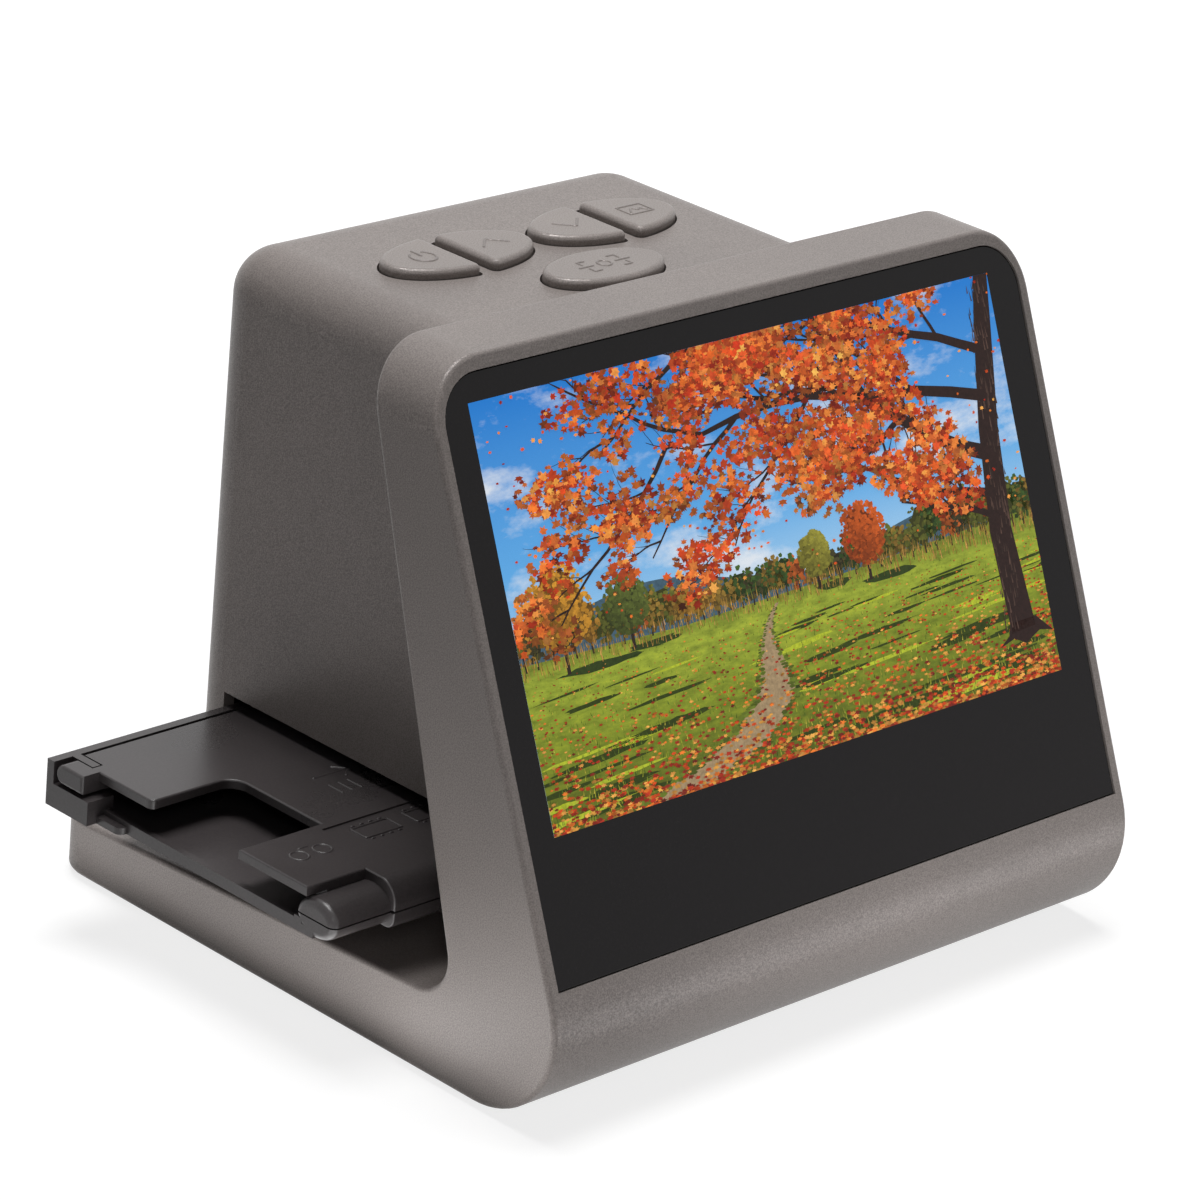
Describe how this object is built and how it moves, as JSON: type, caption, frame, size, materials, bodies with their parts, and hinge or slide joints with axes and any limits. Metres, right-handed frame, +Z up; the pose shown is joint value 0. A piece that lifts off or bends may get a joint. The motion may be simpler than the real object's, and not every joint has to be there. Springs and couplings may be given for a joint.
{
  "type": "film negative scanner",
  "caption": "Desktop film scanner with a leaning display, a camera tower with push buttons, and a film tray that slides sideways through a lit gate.",
  "frame": {"origin": "middle of the bounding box's footprint, on the plane that the feet rest on", "axes": "+X to the right seen from the screen side, -Y towards the viewer of the screen, +Z up"},
  "size_m": [0.1556, 0.1138, 0.1081],
  "materials": {
    "housing_plastic": "moulded, metallic grey paint with a fine sparkle",
    "screen_plastic": "polished, smoked black",
    "display_glass": "lit display under a clear face",
    "tray_plastic": "moulded, satin dark grey",
    "button_plastic": "moulded, metallic grey paint",
    "black_plastic": "moulded, fine matt texture",
    "white_plastic": "moulded, satin white",
    "lamp_plastic": "small lamps with a yellow fill",
    "circuit_board": "green lacquer over glass fibre",
    "chip_plastic": "matt black moulding",
    "ribbon": "amber film",
    "rubber": "soft matt black",
    "steel": "plated steel",
    "magnet": "bright plated",
    "lens_glass": "clear coated glass"
  },
  "bodies": {
    "casing": {"main_housing": "housing_plastic", "tower_cover": "housing_plastic", "bottom_cover": "black_plastic", "screen_cover": "screen_plastic", "display_panel": "display_glass", "display_bracket": "steel", "display_ribbon": "ribbon", "panel_screws": "steel", "main_board": "circuit_board", "main_board_chips": "chip_plastic", "main_board_screws": "steel", "rubber_feet": "rubber", "casing_screws": "steel", "tower_screws": "steel", "button_board": "circuit_board", "button_board_screws": "steel", "button_switches": "chip_plastic", "port_board": "circuit_board", "port_board_screws": "steel", "usb_socket": "steel", "hdmi_socket": "steel", "card_socket": "steel", "lower_guide": "black_plastic", "upper_guide": "black_plastic", "gate_screws": "steel", "detent_spring": "steel", "detent_screw": "steel", "light_board": "circuit_board", "light_lamps": "lamp_plastic", "light_board_screws": "steel", "light_box": "white_plastic", "diffuser": "white_plastic", "camera_hood": "black_plastic", "hood_screws": "steel", "lens_holder": "black_plastic", "lens_barrel": "black_plastic", "lens_glass": "lens_glass", "camera_board": "circuit_board", "image_sensor": "chip_plastic", "camera_screws": "steel"},
    "tray": {"tray_base": "tray_plastic", "hinge_pins": "tray_plastic", "base_magnets": "magnet"},
    "lid": {"tray_lid": "tray_plastic", "lid_magnets": "magnet"},
    "power_key": {"power_button": "button_plastic", "power_plunger": "white_plastic"},
    "up_key": {"up_button": "button_plastic", "up_plunger": "white_plastic"},
    "down_key": {"down_button": "button_plastic", "down_plunger": "white_plastic"},
    "view_key": {"view_button": "button_plastic", "view_plunger": "white_plastic"},
    "scan_key": {"scan_button": "button_plastic", "scan_plunger": "white_plastic"}
  },
  "joints": [
    {"name": "tray_slide", "type": "slide", "parent": "casing", "child": "tray", "axis": [1, 0, 0], "range_m": [-0.055, 0.055]},
    {"name": "lid_hinge", "type": "hinge", "parent": "tray", "child": "lid", "pos_m": [0, 0.0369, 0.02645], "axis": [-1, 0, 0], "range_deg": [0, 1.9]},
    {"name": "power_press", "type": "slide", "parent": "casing", "child": "power_key", "axis": [0, 0, -1], "range_m": [0, 0.0006], "stiffness_N_per_m": 800, "springref_m": -0.0003},
    {"name": "up_press", "type": "slide", "parent": "casing", "child": "up_key", "axis": [0, 0, -1], "range_m": [0, 0.0006], "stiffness_N_per_m": 800, "springref_m": -0.0003},
    {"name": "down_press", "type": "slide", "parent": "casing", "child": "down_key", "axis": [0, 0, -1], "range_m": [0, 0.0006], "stiffness_N_per_m": 800, "springref_m": -0.0003},
    {"name": "view_press", "type": "slide", "parent": "casing", "child": "view_key", "axis": [0, 0, -1], "range_m": [0, 0.0006], "stiffness_N_per_m": 800, "springref_m": -0.0003},
    {"name": "scan_press", "type": "slide", "parent": "casing", "child": "scan_key", "axis": [0, 0, -1], "range_m": [0, 0.0006], "stiffness_N_per_m": 800, "springref_m": -0.0003}
  ]
}
